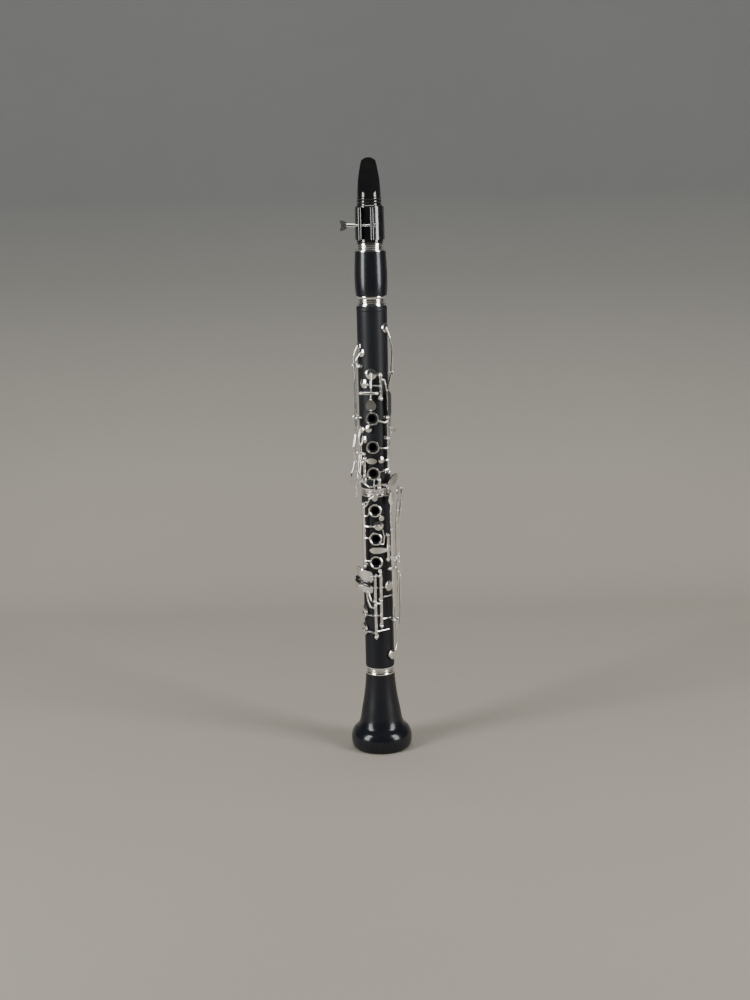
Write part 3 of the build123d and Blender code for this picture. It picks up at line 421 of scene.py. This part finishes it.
def rod_screw_heads():
    mesh = bmesh.new()
    for points in islands(NODES["hinge_rods"]):
        first, second = rod_ends(points)
        slotted_head(mesh, first, (first - second).normalized())
        slotted_head(mesh, second, (second - first).normalized())
    new_piece("rod_screw_heads", mesh, MATERIALS["steel"], "instrument")


SPRING_R = 0.17 * MM
SPRING_DROP = 2.1 * MM
SPRING_START = 2 * MM
SPRING_SHARE = 0.3         # a spring's length as a share of its rod's
LONGEST_SPRING = 9 * MM
SHORTEST_SPRUNG_ROD = 9 * MM


def needle_springs():
    """A blued wire from each long rod's lower post, lying under the hinge tube."""
    mesh = bmesh.new()
    for points in islands(NODES["hinge_rods"]):
        first, second = rod_ends(points)
        low, high = sorted((first, second), key=lambda p: p.z)
        rod = high.z - low.z
        if rod < SHORTEST_SPRUNG_ROD:
            continue
        inward = -Vector((low.x, low.y, 0)).normalized() * SPRING_DROP
        length = min(rod * SPRING_SHARE, LONGEST_SPRING)
        start = low + Vector((0, 0, SPRING_START)) + inward * 0.75
        end = low + Vector((0, 0, SPRING_START + length)) + inward
        lathe(mesh, start, end, [(0, SPRING_R), (0.6, SPRING_R * 0.9), (1, SPRING_R * 0.45)], 8)
    new_piece("needle_springs", mesh, SPRING_STEEL, "instrument")


ROLLER_R = 1.55 * MM
ROLLER_SHAPE = [(0, 0.30), (0.02, 0.72), (0.07, 0.92), (0.2, 1.0), (0.5, 1.04), (0.8, 1.0), (0.93, 0.92),
                (0.98, 0.72), (1, 0.30)]
ROLLERS = (
    # name, key, angles of its two ends, z, half its slant, distance from the bore's axis
    ("f_c_roller", "f_c_key", -73, -48.5, 173.2, 1.1, 22.6),
    ("a_flat_roller", "a_flat_key", -69.5, -48.5, 176.5, 1.1, 22.6),
    ("f_sharp_roller", "f_sharp_key", -41.5, -18, 172.0, 0.75, 23.3),
    ("e_b_roller", "e_b_key", -41.5, -18, 175.3, 0.75, 23.3),
)


def little_finger_rollers():
    outline = [(share, width * ROLLER_R) for share, width in ROLLER_SHAPE]
    for name, body, phi0, phi1, z, lean, r in ROLLERS:
        mesh = bmesh.new()
        lathe(mesh, polar(phi0, r, z + lean), polar(phi1, r, z - lean), outline, 28)
        new_piece(name, mesh, ROLLER, body)


# ---------------------------------------------------------------- studio
FLOOR_FRONT = -2.4
FLOOR_MIDDLE = -1.0
FLOOR_BACK = 0.45
COVE_R = 0.40
COVE_STEPS = 24
WALL_TOP = 2.2
BACKDROP_HALF = 1.35


def backdrop():
    """Floor, cove and wall in one sheet."""
    profile = [(FLOOR_FRONT, 0.0), (FLOOR_MIDDLE, 0.0), (FLOOR_BACK, 0.0)]
    for i in range(1, COVE_STEPS + 1):
        a = pi / 2 * i / COVE_STEPS
        profile.append((FLOOR_BACK + COVE_R * sin(a), COVE_R * (1 - cos(a))))
    profile.append((FLOOR_BACK + COVE_R, WALL_TOP))
    mesh = bmesh.new()
    rows = [[mesh.verts.new((x, y, z)) for x in (-BACKDROP_HALF, BACKDROP_HALF)] for y, z in profile]
    for low, high in zip(rows, rows[1:]):
        mesh.faces.new((low[0], low[1], high[1], high[0]))
    smooth_object("backdrop", mesh, backdrop_paper())


def softbox(name, place, target, width, height, power):
    light = bpy.data.lights.new(name, "AREA")
    light.shape = "RECTANGLE"
    light.size = width
    light.size_y = height
    light.energy = power
    obj = new_object(name, light)
    aim = (Vector(target) - Vector(place)).to_track_quat("-Z", "Y")
    obj.location = place
    obj.rotation_euler = aim.to_euler()


def lights():
    middle = (0, 0, 0.30)
    softbox("left_softbox", (-1.36, -0.80, 0.85), middle, 0.55, 1.4, 36)
    softbox("right_softbox", (1.36, -0.80, 0.85), middle, 0.55, 1.4, 33)
    softbox("overhead", (0, 0.25, 2.3), (0, 0, 0), 1.3, 1.0, 22)
    world = bpy.data.worlds.new("studio")
    world.use_nodes = True
    shade = world.node_tree.nodes["Background"]
    shade.inputs["Color"].default_value = (0.93, 0.96, 1.0, 1)
    shade.inputs["Strength"].default_value = 0.05
    bpy.context.scene.world = world


CAMERA_PLACE = Vector((-0.0012, -1.4248, 0.579))
CAMERA_DOWN = 12.945
CAMERA_ROLL = -1.38
SENSOR_HEIGHT = 24
FOCAL_LENGTH = 36.27


def camera():
    data = bpy.data.cameras.new("camera")
    data.sensor_fit = "VERTICAL"
    data.sensor_height = SENSOR_HEIGHT
    data.lens = FOCAL_LENGTH
    obj = new_object("camera", data)
    tilt = Matrix.Rotation(radians(90 - CAMERA_DOWN), 4, "X")
    roll = Matrix.Rotation(radians(CAMERA_ROLL), 4, "Z")
    obj.matrix_world = Matrix.Translation(CAMERA_PLACE) @ tilt @ roll
    bpy.context.scene.camera = obj


finish_cad_nodes()
rod_screw_heads()
needle_springs()
little_finger_rollers()
backdrop()
lights()
camera()
